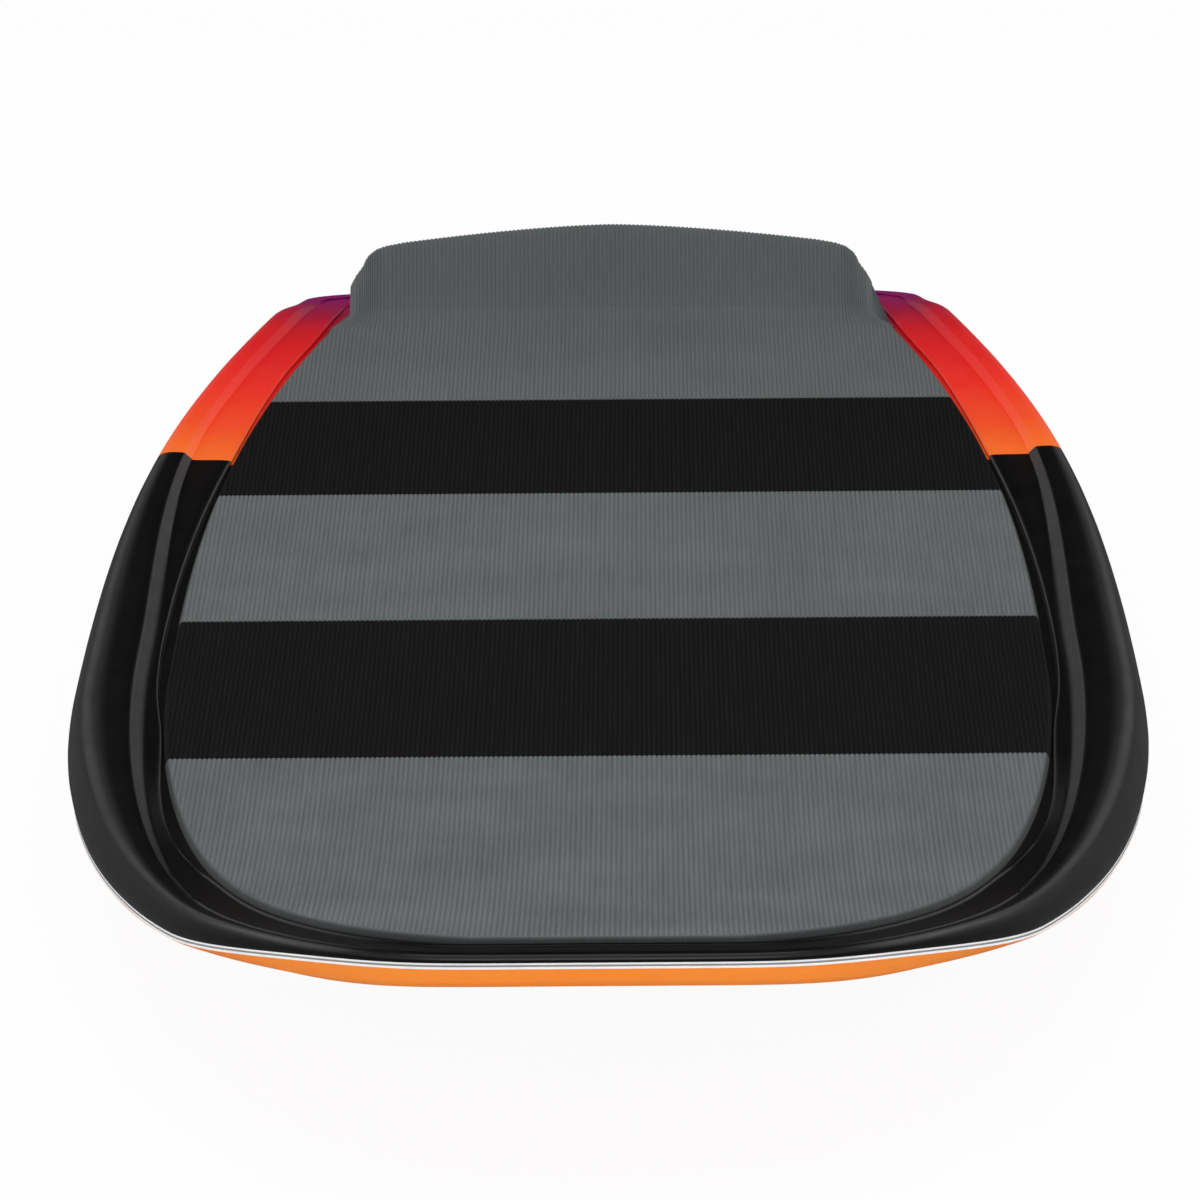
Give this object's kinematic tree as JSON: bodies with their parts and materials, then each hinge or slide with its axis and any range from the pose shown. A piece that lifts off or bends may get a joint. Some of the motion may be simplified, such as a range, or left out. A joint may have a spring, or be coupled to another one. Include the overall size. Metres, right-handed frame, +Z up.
{
  "type": "foil board",
  "caption": "Short foam-cored foil board with recessed deck, grooved pad with a tail kick, striped rail, and slotted mast tracks, vent and leash plug underneath.",
  "frame": {"origin": "centre of the bounding box on the flat of the bottom, the plane the board rests on", "axes": "+Y from nose to tail, +Z up through the deck, +X to the right when facing the tail"},
  "size_m": [0.562, 1.41, 0.134],
  "materials": {
    "foam": "expanded foam",
    "deck_paint": "satin black, orange to crimson to purple at the tail",
    "bottom_paint": "satin orange",
    "white_line": "satin white line",
    "grey_line": "satin grey line",
    "pad_grey": "grooved soft foam, matt grey",
    "pad_black": "grooved soft foam, matt black",
    "riser_foam": "firm foam",
    "dense_foam": "dense closed-cell foam",
    "track_plastic": "moulded black",
    "brass": "machined",
    "plug_plastic": "moulded black",
    "steel": "turned",
    "seal_rubber": "seal",
    "membrane": "breathing membrane"
  },
  "bodies": {
    "board": {"foam_core": "foam", "deck_skin": "deck_paint", "bottom_skin": "bottom_paint", "pinline_upper": "white_line", "parting_line": "grey_line", "pinline_lower": "white_line", "pad_front_piece": "pad_grey", "pad_band_front": "pad_black", "pad_centre": "pad_grey", "pad_band_rear": "pad_black", "pad_rear": "pad_grey", "kick_riser": "riser_foam", "kick_cover": "pad_grey", "mast_block": "dense_foam", "track_left": "track_plastic", "track_right": "track_plastic", "vent_housing": "plug_plastic", "vent_membrane": "membrane", "leash_cup": "plug_plastic", "leash_pin": "steel"},
    "vent_plug": {"vent_screw": "steel", "vent_oring": "seal_rubber"},
    "nut_front_left_slider": {"nut_front_left": "brass"},
    "nut_front_right_slider": {"nut_front_right": "brass"},
    "nut_back_left_slider": {"nut_back_left": "brass"},
    "nut_back_right_slider": {"nut_back_right": "brass"}
  },
  "joints": [
    {"name": "nut_front_left_slide", "type": "slide", "parent": "board", "child": "nut_front_left_slider", "axis": [0, 1, 0], "range_m": [-0.0295, 0.0725]},
    {"name": "nut_front_right_slide", "type": "slide", "parent": "board", "child": "nut_front_right_slider", "axis": [0, 1, 0], "range_m": [-0.0295, 0.0725]},
    {"name": "nut_back_left_slide", "type": "slide", "parent": "board", "child": "nut_back_left_slider", "axis": [0, 1, 0], "range_m": [-0.0725, 0.0295]},
    {"name": "nut_back_right_slide", "type": "slide", "parent": "board", "child": "nut_back_right_slider", "axis": [0, 1, 0], "range_m": [-0.0725, 0.0295]},
    {"name": "vent_screw_out", "type": "slide", "parent": "board", "child": "vent_plug", "axis": [0, 0, -1], "range_m": [0, 0.016]}
  ]
}
